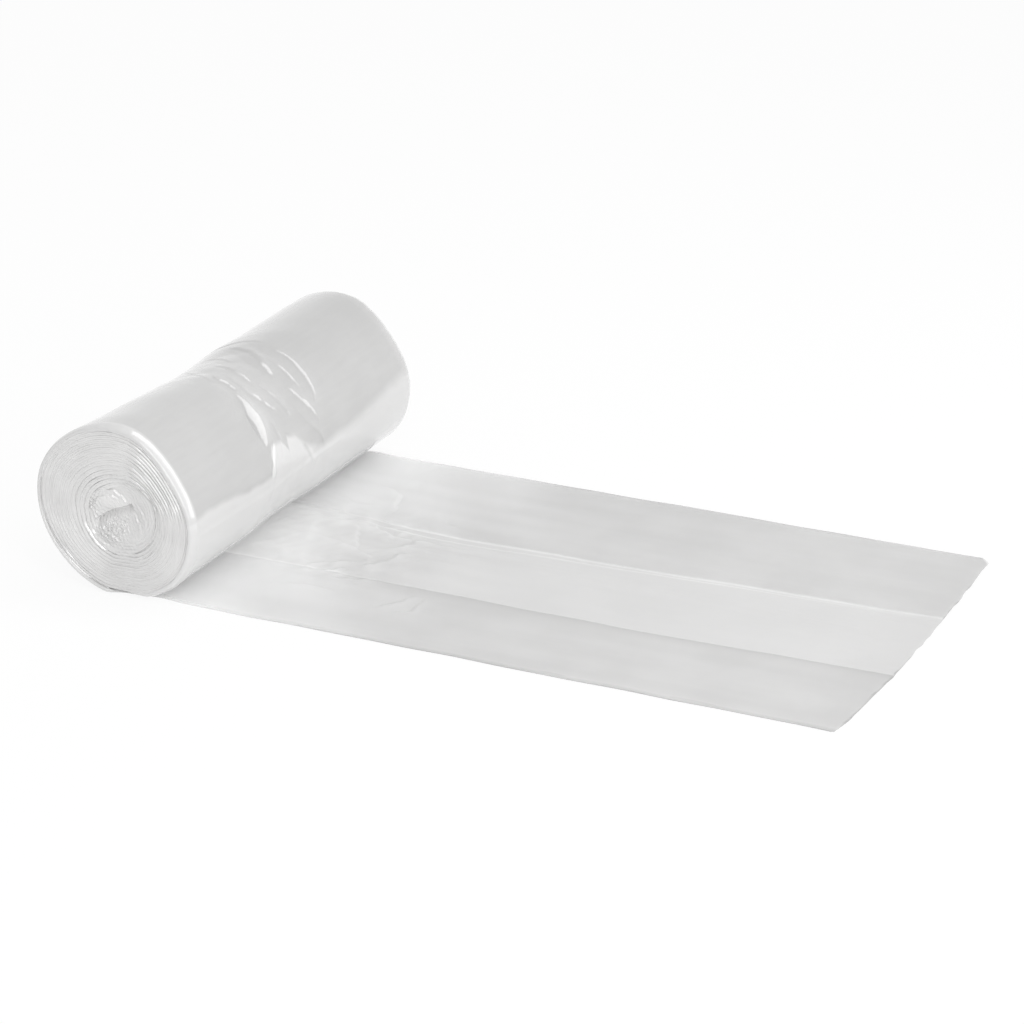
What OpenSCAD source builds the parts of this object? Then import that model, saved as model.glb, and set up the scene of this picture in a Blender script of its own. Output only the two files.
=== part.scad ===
// Bin bag roll: a chain of clear gusseted bags wound without a core, with the first bag unrolled.
// The roll's axis lies along Y and the first bag runs out along +X.
// The origin is on the floor, under the roll's axis and halfway along it.

/* [Folded web] */
// Width of the web as it is folded and wound
web_w = 280; // [200:5:400]
// Thickness of the folded web at its gussets, with the air between the films
web_t = 1.6; // [1.0:0.1:2.0]
// Depth of the gusset along the near edge
near_gusset = 82; // [40:1:95]
// Depth of the gusset along the far edge
far_gusset = 104; // [40:1:110]
// Height of the slot between the two lips of a gusset
lip_gap = 0.2; // [0.1:0.05:0.4]

/* [First bag] */
// Length of one bag, from its perforation under the roll to its free end
bag_l = 470; // [300:5:800]
// How far the middle of the free end stands out past its corners
end_bow = 4; // [0:0.5:10]
// Radius of the free end's near corner
corner_r = 5; // [1:0.5:12]
// Side of the snip that is missing from the free end's far corner
snip = 6; // [1:0.5:12]

/* [Roll] */
// Long half axis of the leaning oval section
oval_long = 58.2; // [50:0.2:75]
// Short half axis of the leaning oval section
oval_short = 51.8; // [46:0.2:75]
// Lean of the long axis below the horizontal, towards the first bag
oval_lean = 45; // [0:1:90]
// How far the roll's own weight has flattened its underside
flat_drop = 1; // [0.4:0.1:3]
// Air between one turn and the next
turn_gap = 0.35; // [0.25:0.05:0.8]
// Radius of the hollow that the winding shaft left
hollow_r = 21; // [18:0.5:26]
// How deeply the hollow's wall has buckled inwards, as a share of its radius
buckle = 0.4; // [0.2:0.05:0.45]
// Air between the hollow's wall and the web's inner end, which has folded up in the hollow
fold_gap = 0.7; // [0.4:0.1:1.5]
// How far the turns' edges stand out past the first bag's, at each end
end_swell = 6; // [0:0.5:8]
// How much further the edges stand out at the far end, because the web has drifted as it was wound
far_drift = 5; // [0:0.5:8]
// How far the outer turn's edges stay behind the edges of the turns inside it
rim_step = 2; // [0:0.5:4]
// How far the near end has flared out above the floor
near_flare = 4; // [0:0.5:5]
// How far the innermost turns draw back into each end
end_dish = 7; // [0:0.5:12]
// Depth of the waist between the gussets, where the web has half as many films
waist = 1.6; // [0:0.1:2.5]
// Depth of the deepest crease in the crumpled film
crumple = 1.8; // [0:0.1:2.5]

/* [Hidden] */

film_colour = [0.86, 0.87, 0.87, 0.6];
half_w = web_w / 2;
near_crease_y = -half_w + near_gusset;
far_crease_y = half_w - far_gusset;
waist_y = (near_crease_y + far_crease_y) / 2;
waist_half = (far_crease_y - near_crease_y) / 2;

// Every turn has the same oval shape, so one turn is the next one out at a smaller scale.
roll_r = (oval_long + oval_short) / 2;
oval_drop = sqrt(pow(oval_long * sin(oval_lean), 2) + pow(oval_short * cos(oval_lean), 2));
axis_z = oval_drop - flat_drop;
pitch = (web_t + turn_gap) * roll_r / oval_short;
coil_turns = floor((roll_r - hollow_r) / pitch);
// Where the soft section leaves its oval: an angle from +X, how far round it reaches, and its height
soft_spots = [[80, 20, 2.4], [32, 22, -1.4], [130, 26, -2.0]];
// Side on which the near end has flared the most
flare_angle = 150;
// Share of each turn that keeps its height, so that the flat underside stays level
level_share = 0.1;
// Side on which the hollow has buckled, as an angle from +X, and how far round the buckle reaches
buckle_angle = 124;
buckle_spread = 62;
// The web's inner end crosses the hollow and winds up in a lobe of its own on the other side.
wall_r = (roll_r - pitch * coil_turns) * oval_short / roll_r - web_t;
lobe_share = 0.22;
lobe_shift = lobe_share * wall_r;
lobe_centre = lobe_shift * [cos(buckle_angle + 180), sin(buckle_angle + 180)];
lobe_r = wall_r - lobe_shift - fold_gap;
lobe_end_r = 3.4;
cross_turns = 0.62;
cross_start = coil_turns - 0.42;
turns = coil_turns + floor((lobe_r - lobe_end_r) / pitch);
// Height of the inner turns' ripples, as a share of their radius, their number and the angle they start at
ripple = 0.035;
ripple_count = 3;
ripple_start = 40;
// How far the edges of neighbouring turns wander, and the step of that wander for each turn
edge_wander = 0.6;
edge_step = 151;
// Stretches of the outer turn in which it rises from the floor, and in which its edges come out
settle_start = 0.02;
settle_turns = 0.16;
swell_turns = 0.35;
// Flats on the round of each fold
fold_steps = 6;

// The outer turn has rings of many points for its waist and creases, and the others have eight.
skin_turns = 1.05;
skin_steps = 60;
coil_steps = 26;
band_levels = 12;
rim_levels = 4;
skin_ys = concat(
    [for (k = [0 : rim_levels - 1]) -half_w + near_gusset * k / rim_levels],
    [for (k = [0 : band_levels]) near_crease_y + 2 * waist_half * k / band_levels],
    [for (k = [1 : rim_levels]) far_crease_y + far_gusset * k / rim_levels]
);
skin_top = len(skin_ys);
skin_ring = skin_top + 4;
coil_ring = 8;
skin_last = round(skin_steps * skin_turns);
coil_last = ceil((turns - skin_turns) * coil_steps);

// Each crease of the crumpled film: its angle round the roll from +X, its place along the axis,
// its heading away from the roll's round, its half length and half width, and its share of crumple.
creases = [
    [27, -35, 0, 38, 6, 1.0],
    [50, 29, 4, 26, 5, 0.6],
    [14, 8, 62, 26, 7, 0.7],
    [86, -6, 82, 30, 7, 0.5],
    [56, -50, -14, 26, 5, 0.55],
    [62, 2, 38, 26, 8, 0.6]
];

// Angle from +X, seen from the near end, at which the web lies after u turns from the perforation
function turn_angle(u) = -90 - 360 * u;

function ellipse_r(a) = oval_long * oval_short
    / sqrt(pow(oval_short * cos(a + oval_lean), 2) + pow(oval_long * sin(a + oval_lean), 2));

function from_angle(a, b) = let (d = (a - b) % 360) d > 180 ? d - 360 : d < -180 ? d + 360 : d;

function soft_rise(a, k = 0) = k == len(soft_spots) ? 0
    : soft_spots[k][2] * exp(-pow(from_angle(a, soft_spots[k][0]) / soft_spots[k][1], 2)) + soft_rise(a, k + 1);

// The near end flares evenly from the near crease out to the edge.
function flare(a, y) = near_flare * (1 + cos(a - flare_angle)) / 2 * max(0, near_crease_y - y) / near_gusset;

function outline_r(a, y) = let (r = ellipse_r(a) + soft_rise(a) + flare(a, y))
    sin(a) < -0.5 ? min(r, -axis_z / sin(a)) : r;

// Turns climbed inwards, where each turn waits while it crosses the flat underside
function climbed(u) = floor(u) + max(0, u - floor(u) - level_share) / (1 - level_share);

// Share of the way in from the outer turn to the hollow
function inward(u) = min(1, u / coil_turns);

function smooth(s) = let (t = min(1, max(0, s))) t * t * (3 - 2 * t);

// The inner turns have buckled towards the hollow on one side and ripple a little all round.
function slump(u) = let (a = turn_angle(u))
    1 - buckle * pow(inward(u), 3) * exp(-pow(from_angle(a, buckle_angle) / buckle_spread, 2))
    + ripple * pow(inward(u), 2) * sin(ripple_count * a + ripple_start);

function coil_r(u, y) = outline_r(turn_angle(u), y) * (1 - pitch / roll_r * climbed(u)) * slump(u);

// Share of the way across the hollow, from the coil to the lobe
function crossed(u) = smooth((u - cross_start) / cross_turns);

function folded_r(u) = lobe_r - pitch * max(0, u - coil_turns);

function turn_r(u, y) = let (s = crossed(u)) (1 - s) * coil_r(min(u, coil_turns), y) + s * folded_r(u);

// How far a turn's edges stand out past the first bag's
function edge_out(u) = u < 1 ? (end_swell - rim_step) * smooth((u - settle_start) / swell_turns)
    : end_swell - rim_step * exp(1 - u) - end_dish * pow(inward(u), 4)
    + edge_wander * smooth(u - 1) * sin(edge_step * u);

function far_edge_out(u) = edge_out(u) + far_drift * smooth((u - settle_start) / swell_turns);

// Place along the axis of a point of the outer turn, with its edges out
function skin_y(u, y) = y < near_crease_y ? y + edge_out(u) * (y - near_crease_y) / near_gusset
    : y > far_crease_y ? y + far_edge_out(u) * (y - far_crease_y) / far_gusset : y;

// The first stretch of the outer turn lies flat on the floor and then rises into its waist.
function settled(u) = smooth((u - settle_start) / settle_turns);

function waist_dip(y) = waist * smooth(1 - abs(y - waist_y) / waist_half);

function crease_dip(a, y, c) = let (
    round_way = from_angle(a, c[0]) * PI / 180 * roll_r,
    along = round_way * cos(c[2]) + (y - c[1]) * sin(c[2]),
    across = (y - c[1]) * cos(c[2]) - round_way * sin(c[2])
) crumple * c[5] * exp(-pow(along / c[3], 2) - pow(across / c[4], 2));

function deepest(depths, k = 0) = k == len(depths) - 1 ? depths[k] : max(depths[k], deepest(depths, k + 1));

function skin_dip(u, y) = settled(u) * (waist_dip(y) + (u > 1 ? 0
    : deepest([for (c = creases) crease_dip(turn_angle(u), y, c)])));

// The inner turns' waist clears the outer turn's and closes towards the hollow.
coil_waist = waist + crumple + turn_gap - web_t / 2;
function coil_dip(u) = coil_waist * (1 - inward(u));

// Depth of the inside of the outer turn between its gussets
function skin_inside(u) = web_t / 2 + (u < 1 ? settled(u) * (waist + crumple) : coil_dip(u));

function web_point(u, y, depth) =
    let (a = turn_angle(u), r = turn_r(u, y) - depth, c = crossed(u) * lobe_centre)
    [c[0] + r * cos(a), y, axis_z + c[1] + r * sin(a)];

// A ring of the outer turn: its outside from the near edge to the far one, and its inside back again
function skin_points(u) = concat(
    [for (y = skin_ys) web_point(u, skin_y(u, y), skin_dip(u, y))],
    [
        web_point(u, half_w + far_edge_out(u), web_t),
        web_point(u, far_crease_y, skin_inside(u)),
        web_point(u, near_crease_y, skin_inside(u)),
        web_point(u, -half_w - edge_out(u), web_t)
    ]
);

function coil_points(u) = let (near = -half_w - edge_out(u), far = half_w + far_edge_out(u), dip = coil_dip(u)) [
    web_point(u, near, 0),
    web_point(u, near_crease_y, dip),
    web_point(u, far_crease_y, dip),
    web_point(u, far, 0),
    web_point(u, far, web_t),
    web_point(u, far_crease_y, dip + web_t / 2),
    web_point(u, near_crease_y, dip + web_t / 2),
    web_point(u, near, web_t)
];

// Faces between two rings of n points that start at the indices a and b
function ring_faces(a, b, n) = [for (k = [0 : n - 1], half = [0, 1])
    let (m = (k + 1) % n) half == 0 ? [a + k, b + m, b + k] : [a + k, a + m, b + m]];

// Faces between a row of points from first to last and the single edge from a to b
function fan_faces(first, last, a, b) = let (middle = floor((first + last) / 2)) concat(
    [for (k = [first : middle - 1]) [k, k + 1, a]],
    [[middle, b, a]],
    [for (k = [middle : last - 1]) [k, k + 1, b]]
);

// Faces over the web's cut end at the perforation, where the outer turn's first ring is index 0
function start_faces() = [for (f = concat(
    fan_faces(0, rim_levels, skin_top + 3, skin_top + 2),
    fan_faces(rim_levels, rim_levels + band_levels, skin_top + 2, skin_top + 1),
    fan_faces(rim_levels + band_levels, skin_top - 1, skin_top + 1, skin_top)
)) [f[2], f[1], f[0]]];

// Faces over the web's inner end, whose ring starts at index c
function end_faces(c) = [for (k = [0 : 2]) [c + k, c + k + 1, c + 6 - k, c + 7 - k]];

// Faces between the last ring of the outer turn, at s, and the first ring of the coil, at c
function joint_faces(s, c) = concat(
    fan_faces(s, s + rim_levels, c, c + 1),
    fan_faces(s + rim_levels, s + rim_levels + band_levels, c + 1, c + 2),
    fan_faces(s + rim_levels + band_levels, s + skin_top - 1, c + 2, c + 3),
    [for (k = [0 : 4], half = [0, 1])
        let (p = s + skin_top - 1 + k, q = c + 3 + k, p2 = k == 4 ? s : p + 1, q2 = k == 4 ? c : q + 1)
        half == 0 ? [p, q2, q] : [p, p2, q2]]
);

module wound_bags() {
    coil_start = (skin_last + 1) * skin_ring;
    points = concat(
        [for (i = [0 : skin_last]) each skin_points(i / skin_steps)],
        [for (i = [1 : coil_last]) each coil_points(skin_turns + (turns - skin_turns) * i / coil_last)]
    );
    faces = concat(
        start_faces(),
        [for (i = [0 : skin_last - 1]) each ring_faces(i * skin_ring, (i + 1) * skin_ring, skin_ring)],
        joint_faces(skin_last * skin_ring, coil_start),
        [for (i = [0 : coil_last - 2])
            each ring_faces(coil_start + i * coil_ring, coil_start + (i + 1) * coil_ring, coil_ring)],
        end_faces(coil_start + (coil_last - 1) * coil_ring)
    );
    color(film_colour) polyhedron(points, faces, convexity = 2 * turns);
}

// Points of a half circle round one fold of the web, from below to above
function fold_arc(y, z, r, side) = [for (k = [0 : fold_steps])
    let (a = -90 + 180 * k / fold_steps) [y + side * r * cos(a), z + r * sin(a)]];

function reversed(points) = [for (k = [len(points) - 1 : -1 : 0]) points[k]];

// The folded web's section: two lips of doubled film along each side, and two films between the creases
module web_section() {
    lip_t = (web_t - lip_gap) / 2;
    r = lip_t / 2;
    polygon(concat(
        fold_arc(half_w - r, r, r, 1),
        fold_arc(far_crease_y + lip_gap, web_t / 2, lip_gap / 2, -1),
        fold_arc(half_w - r, web_t - r, r, 1),
        [[far_crease_y, web_t], [far_crease_y - lip_t, web_t / 2]],
        [[near_crease_y + lip_t, web_t / 2], [near_crease_y, web_t]],
        reversed(fold_arc(-half_w + r, web_t - r, r, -1)),
        reversed(fold_arc(near_crease_y - lip_gap, web_t / 2, lip_gap / 2, 1)),
        reversed(fold_arc(-half_w + r, r, r, -1))
    ));
}

// The first bag seen from above: a bowed free end, a rounded near corner and a snip off the far one
module bag_plan() {
    bow_steps = 8;
    side_y = half_w + 1;
    function bow_x(y) = bag_l + end_bow * (1 - pow(y / half_w, 2));
    polygon(concat(
        [[-1, side_y], [-1, -side_y], [bag_l - corner_r, -side_y], [bag_l - corner_r, -half_w]],
        [for (k = [1 : fold_steps])
            let (a = -90 + 90 * k / fold_steps)
            [bag_l - corner_r + corner_r * cos(a), -half_w + corner_r + corner_r * sin(a)]],
        [for (k = [1 : bow_steps - 1]) let (y = -half_w + web_w * k / bow_steps) [bow_x(y), y]],
        [[bag_l, half_w - snip], [bag_l - snip / 2, side_y]]
    ));
}

module first_bag() {
    color(film_colour) intersection() {
        rotate([90, 0, 90]) linear_extrude(bag_l + 2 * end_bow) web_section();
        translate([0, 0, -1]) linear_extrude(web_t + 2) bag_plan();
    }
}

wound_bags();
first_bag();
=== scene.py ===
# Bin bag roll: clear gusseted bags wound without a core, with the first bag unrolled on a white floor.
import math
import bpy
import numpy as np
from mathutils import Matrix, Vector


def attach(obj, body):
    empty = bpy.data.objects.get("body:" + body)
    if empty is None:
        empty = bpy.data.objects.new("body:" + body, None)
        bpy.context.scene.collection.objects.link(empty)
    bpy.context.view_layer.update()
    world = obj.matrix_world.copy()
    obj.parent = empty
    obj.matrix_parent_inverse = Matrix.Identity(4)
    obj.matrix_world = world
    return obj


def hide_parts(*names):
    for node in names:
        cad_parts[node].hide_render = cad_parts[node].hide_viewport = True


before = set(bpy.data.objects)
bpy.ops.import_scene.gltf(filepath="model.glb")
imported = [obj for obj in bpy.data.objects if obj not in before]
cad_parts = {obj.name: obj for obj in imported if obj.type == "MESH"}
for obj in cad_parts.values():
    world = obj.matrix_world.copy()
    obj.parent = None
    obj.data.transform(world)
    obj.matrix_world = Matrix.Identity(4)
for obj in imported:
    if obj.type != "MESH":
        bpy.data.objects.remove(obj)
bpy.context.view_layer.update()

# Sizes of the folded web and the winding, in millimetres as in the part's source
MM = 0.001
WEB_W, WEB_T = 280.0, 1.6
HALF_W = WEB_W / 2
NEAR_GUSSET, FAR_GUSSET = 82.0, 104.0
NEAR_CREASE, FAR_CREASE = -HALF_W + NEAR_GUSSET, HALF_W - FAR_GUSSET
WAIST_Y, WAIST_HALF = (NEAR_CREASE + FAR_CREASE) / 2, (FAR_CREASE - NEAR_CREASE) / 2
BAG_L, END_BOW, CORNER_R, SNIP = 470.0, 4.0, 5.0, 6.0
OVAL_LONG, OVAL_SHORT, OVAL_LEAN, FLAT_DROP = 58.2, 51.8, 45.0, 1.0
TURN_GAP, HOLLOW_R, BUCKLE, FOLD_GAP = 0.35, 21.0, 0.4, 0.7
END_SWELL, RIM_STEP, FAR_DRIFT, END_DISH, NEAR_FLARE, WAIST, CRUMPLE = 6.0, 2.0, 5.0, 7.0, 4.0, 1.6, 1.8
ROLL_R = (OVAL_LONG + OVAL_SHORT) / 2
LEAN = math.radians(OVAL_LEAN)
AXIS_Z = math.hypot(OVAL_LONG * math.sin(LEAN), OVAL_SHORT * math.cos(LEAN)) - FLAT_DROP
PITCH = (WEB_T + TURN_GAP) * ROLL_R / OVAL_SHORT
COIL_TURNS = math.floor((ROLL_R - HOLLOW_R) / PITCH)
LEVEL_SHARE = 0.1
BUCKLE_ANGLE, BUCKLE_SPREAD, RIPPLE = 124.0, 62.0, 0.035
SOFT_SPOTS, FLARE_ANGLE = ((80, 20, 2.4), (32, 22, -1.4), (130, 26, -2.0)), 150.0
WALL_R = (ROLL_R - PITCH * COIL_TURNS) * OVAL_SHORT / ROLL_R - WEB_T
LOBE_SHIFT = 0.22 * WALL_R
LOBE_R, LOBE_END_R = WALL_R - LOBE_SHIFT - FOLD_GAP, 3.4
CROSS_TURNS, CROSS_START = 0.62, COIL_TURNS - 0.42
TURNS = COIL_TURNS + math.floor((LOBE_R - LOBE_END_R) / PITCH)
# How many turns the outer turn's own piece covers, and how far the film is kept off the floor
SKIN_TURNS, FLOOR_GAP = 1.05, 0.02


def smooth(s):
    """0 below 0 and 1 above 1, with a soft rise between them."""
    t = np.clip(s, 0, 1)
    return t * t * (3 - 2 * t)


def hump(x, y, middle, reach):
    """1 at the middle, falling off smoothly over the reach each way."""
    return np.exp(-((x - middle[0]) / reach[0]) ** 2 - ((y - middle[1]) / reach[1]) ** 2)


def from_angle(a, b):
    """How far angle a lies from angle b, from -180 to 180 degrees."""
    return (a - b + 180) % 360 - 180


WAVE_PEAK = 1.6


def waves(t, seed, count=5, low=1.0, high=4.0):
    """A smooth wander from -1 to 1 along t, as a sum of waves that a seed fixes."""
    rng = np.random.RandomState(seed)
    total = 0
    for _ in range(count):
        wave = np.sin(rng.uniform(low, high) * t + rng.uniform(0, 2 * math.pi))
        total = total + math.sqrt(2 / count) * wave
    return np.clip(total / WAVE_PEAK, -1, 1)


def creased(x, y, seed, count, low, high, lean, spread):
    """Sharp folds from 0 to 1 over a plane, as the film takes when it is crushed.

    There are count sets of folds, their steps per millimetre from low to high and their ways within spread
    of lean, in degrees.
    """
    rng = np.random.RandomState(seed)
    total = 0
    for _ in range(count):
        way = math.radians(lean + rng.uniform(-spread, spread))
        step = rng.uniform(low, high)
        along, across = x * math.sin(way) - y * math.cos(way), x * math.cos(way) + y * math.sin(way)
        bend = 1.3 * np.sin(0.6 * step * along + rng.uniform(0, 6))
        total = total + 1 - np.abs(np.sin(step * across + bend + rng.uniform(0, 6)))
    return total / count


# The winding, as the part's source gives it

def turn_angle(u):
    """The angle round the axis after u turns from the perforation, under the roll."""
    return -90 - 360 * u


def outline_r(a, y):
    """The outer turn's distance from the axis: a leaning oval with soft spots, flattened by the floor."""
    rad, lean = np.radians(a), np.radians(a + OVAL_LEAN)
    oval = OVAL_LONG * OVAL_SHORT / np.hypot(OVAL_SHORT * np.cos(lean), OVAL_LONG * np.sin(lean))
    for angle, reach, height in SOFT_SPOTS:
        oval = oval + height * np.exp(-(from_angle(a, angle) / reach) ** 2)
    flare = NEAR_FLARE * (1 + np.cos(np.radians(a - FLARE_ANGLE))) / 2
    oval = oval + flare * np.maximum(0, NEAR_CREASE - y) / NEAR_GUSSET
    down = np.minimum(np.sin(rad), -0.5)
    return np.where(np.sin(rad) < -0.5, np.minimum(oval, -AXIS_Z / down), oval)


def inward(u):
    """From 0 at the outer turn to 1 at the hollow."""
    return np.minimum(1, u / COIL_TURNS)


def coil_r(u, y):
    """The winding's distance from the axis, with its buckle and ripple, which grow towards the hollow."""
    a, part = turn_angle(u), u - np.floor(u)
    climbed = np.floor(u) + np.maximum(0, part - LEVEL_SHARE) / (1 - LEVEL_SHARE)
    slump = 1 - BUCKLE * inward(u) ** 3 * np.exp(-(from_angle(a, BUCKLE_ANGLE) / BUCKLE_SPREAD) ** 2)
    slump = slump + RIPPLE * inward(u) ** 2 * np.sin(np.radians(3 * a + 40))
    return outline_r(a, y) * (1 - PITCH / ROLL_R * climbed) * slump


def crossed(u):
    """From 0 on the winding to 1 on the inner end, which crosses into the hollow."""
    return smooth((u - CROSS_START) / CROSS_TURNS)


def turn_r(u, y):
    """The web's distance from its own axis, on the winding and on the inner end."""
    s, lobe = crossed(u), LOBE_R - PITCH * np.maximum(0, u - COIL_TURNS)
    return (1 - s) * coil_r(np.minimum(u, COIL_TURNS), y) + s * lobe


def web_points(u, y, depth):
    """Points of the web at u turns from the perforation, y along the axis and depth under its outside."""
    a, r, c = np.radians(turn_angle(u)), turn_r(u, y) - depth, crossed(u) * LOBE_SHIFT
    way = math.radians(BUCKLE_ANGLE + 180)
    x, z = c * math.cos(way) + r * np.cos(a), AXIS_Z + c * math.sin(way) + r * np.sin(a)
    return np.stack(np.broadcast_arrays(x, y, z), axis=-1)


def settled(u):
    """0 at the perforation, where the web lies flat, and 1 once it has left the floor."""
    return smooth((u - 0.02) / 0.16)


def along_line(x, line):
    """The value at x of a line given as places with their values."""
    places, values = zip(*line)
    return np.interp(x, places, values)


def spaced(stops):
    """Places from one stop to the next at about each stretch's own spacing."""
    places = [stops[0][0]]
    for (start, step), (end, _) in zip(stops, stops[1:]):
        count = max(1, round(abs(end - start) / step))
        places += [start + (end - start) * k / count for k in range(1, count + 1)]
    return np.array(places)


def film_mesh(name, rows, closed, capped=False):
    """A smooth mesh over rows of points. Each row may close on itself, and the end rows may be capped."""
    count, length = rows.shape[:2]
    index = np.arange(count * length).reshape(count, length)
    far = np.roll(index, -1, axis=1) if closed else index[:, 1:]
    near = index if closed else index[:, :-1]
    quads = np.stack([near[:-1], far[:-1], far[1:], near[1:]], axis=-1).reshape(-1, 4)
    faces = quads.tolist()
    if capped:
        faces += [index[0].tolist()[::-1], index[-1].tolist()]
    mesh = bpy.data.meshes.new(name)
    mesh.from_pydata((rows.reshape(-1, 3) * MM).tolist(), [], faces)
    mesh.shade_smooth()
    piece = bpy.data.objects.new(name, mesh)
    bpy.context.scene.collection.objects.link(piece)
    return piece


def point_values(piece, name, values):
    """Gives every point of the piece a value that its material reads."""
    layer = piece.data.attributes.new(name, "FLOAT", "POINT")
    layer.data.foreach_set("value", np.ascontiguousarray(values, dtype=np.float32).ravel())


# Folds in the film, each a face of even slope along a line

# How sharp a fold's face ends, the share of its line over which it tapers, the part of its height that lies
# below the film, and how much shorter it falls off on its low side
RAMP_SHARP, TAPER, FOLD_BELOW, LOW_SIDE = 11.0, 0.12, 0.4, 0.6


def ramp(x):
    """Rises from 0 to 1 while x goes from -0.5 to 0.5, straight between rounded ends."""
    return (np.logaddexp(0, RAMP_SHARP * (x + 0.5)) - np.logaddexp(0, RAMP_SHARP * (x - 0.5))) / RAMP_SHARP


def tapered(s):
    """1 along a line, falling to 0 at both its ends, for s as the share of the way along it."""
    return smooth(s / TAPER) * smooth((1 - s) / TAPER)


def line_distance(x, y, line):
    """Distance from a line, positive on its right, the share of the way along it and its points' shares."""
    pts = np.array(line)[:, :2]
    spans = np.hypot(*(pts[1:] - pts[:-1]).T)
    starts = np.concatenate([[0], np.cumsum(spans)])
    best, signed, along = np.full(x.shape, 1e9), np.zeros(x.shape), np.zeros(x.shape)
    for k in range(len(spans)):
        d = (pts[k + 1] - pts[k]) / spans[k]
        t = np.clip((x - pts[k, 0]) * d[0] + (y - pts[k, 1]) * d[1], 0, spans[k])
        ox, oy = x - pts[k, 0] - t * d[0], y - pts[k, 1] - t * d[1]
        dist = np.hypot(ox, oy)
        nearer = dist < best
        best = np.where(nearer, dist, best)
        signed = np.where(nearer, np.where(ox * d[1] - oy * d[0] >= 0, dist, -dist), signed)
        along = np.where(nearer, (starts[k] + t) / starts[-1], along)
    return signed, along, starts / starts[-1]


def fold_height(x, y, fold, wander):
    """Height of a fold, given as slope, reach and line.

    Its face rises across the line's width towards the line's right, and falls off over the reach beyond. The
    line wanders by up to wander, in millimetres.
    """
    slope, reach, line = fold
    d, s, shares = line_distance(x, y, line)
    seed = int(abs(line[0][0]) * 10 + abs(line[0][1]))
    d = d + wander * waves(s * 9, seed, 4)
    width = np.interp(s, shares, [point[2] for point in line])
    beyond = np.maximum(np.abs(d) - width / 2, 0)
    fall = np.exp(-beyond / np.where(d > 0, reach, LOW_SIDE * reach))
    return tapered(s) * slope * width * (ramp(d / width) - FOLD_BELOW) * fall


# Folds of the crushed film on the roll: slope, reach, and a line of (angle, place along the roll, width)
ROLL_FOLDS = [
    (0.36, 6.0, [(68, -37, 1.5), (57, -34, 4.4), (45, -36.2, 8.6), (37, -36.8, 9.6), (30, -37.8, 7.4),
                 (24, -39, 4.0), (16, -41, 1.5)]),
    (0.44, 3.0, [(86, -33.5, 1.5), (80, -32, 2.0), (73, -31, 2.4), (65, -31.5, 1.5)]),
    (0.46, 3.5, [(22, -30, 1.5), (13, -35.2, 2.8), (4, -39.6, 2.4), (-5, -43, 1.5)]),
    (0.38, 7.0, [(80, 31, 1.5), (69, 35, 2.2), (60, 36.5, 3.0), (50, 37, 3.2), (42, 36.4, 2.6), (34, 34, 1.9),
                 (24, 29, 1.5)]),
    (0.33, 5.5, [(49, 12.5, 1.5), (40, 16.5, 2.6), (31, 20.5, 3.4), (22, 23.6, 2.4), (12, 25.6, 1.5)]),
    (0.33, 5.5, [(63, -10, 1.5), (53, -6.2, 2.4), (45, -3, 3.0), (36, -1.2, 2.4), (26, 0, 1.5)]),
    (0.36, 6.0, [(80, -25.4, 1.5), (68, -24, 2.4), (60, -22.9, 3.0), (48, -16.6, 2.8), (36, -10, 1.5)]),
    (0.26, 7.0, [(106, 22, 2.0), (87, 18, 3.6), (72, 12, 3.6), (58, 8.5, 2.0)]),
    (0.3, 6.0, [(75, 18, 1.5), (62, 22, 2.6), (50, 23.5, 2.4), (40, 24, 1.5)]),
    (0.2, 4.0, [(122, -16, 1.2), (108, -27, 2.0), (98, -33, 2.0), (82, -40.5, 1.2)]),
    (0.22, 4.0, [(22, -18, 1.5), (14, -6, 2.6), (4, 2, 3.0), (-9, 9.5, 2.0), (-17, 13, 1.5)]),
    (0.24, 5.0, [(33, 8, 1.5), (20, 12, 2.4), (8, 20, 2.6), (-5, 25, 1.5)]),
    (0.24, 5.0, [(98, -12, 1.5), (84, -14, 2.6), (72, -13, 2.6), (60, -14, 1.5)]),
    (0.2, 5.0, [(114, 4, 1.5), (100, 1, 2.6), (88, -4, 1.5)]),
    (0.2, 6.0, [(126, 26, 1.5), (110, 30, 2.4), (98, 34, 2.4), (86, 35.5, 1.5)]),
    (0.3, 5.0, [(36, -25, 1.5), (24, -21, 2.6), (14, -22, 2.6), (2, -25, 1.5)]),
]
# The line where the outer bag is pulled off the turns below: angle and place along the roll
PULL_LINE = [(-6, -150), (-7.5, -90), (-10.4, -40), (-9, 0), (-5.3, 50), (1, 100), (7, 150)]
PULL_DIP, PULL_REACH = 0.45, 16
# The crushed stretch of the outer turn: its angles, where it is crushed the most and how far that reaches
CRUSHED_FROM, CRUSHED_TO, CRUSHED_MOST, CRUSHED_REACH = -34, 148, 60, 44
DEG_ON_ROLL = ROLL_R * math.pi / 180
FOLD_WANDER = 0.35


def roll_folds(u, y):
    """Height of all the folds on the roll."""
    across = from_angle(turn_angle(u), 0) * DEG_ON_ROLL
    total = 0
    for slope, reach, line in ROLL_FOLDS:
        placed = [(angle * DEG_ON_ROLL, place, width) for angle, place, width in line]
        total = total + fold_height(across, y + 0 * u, (slope, reach, placed), FOLD_WANDER)
    return total


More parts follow.
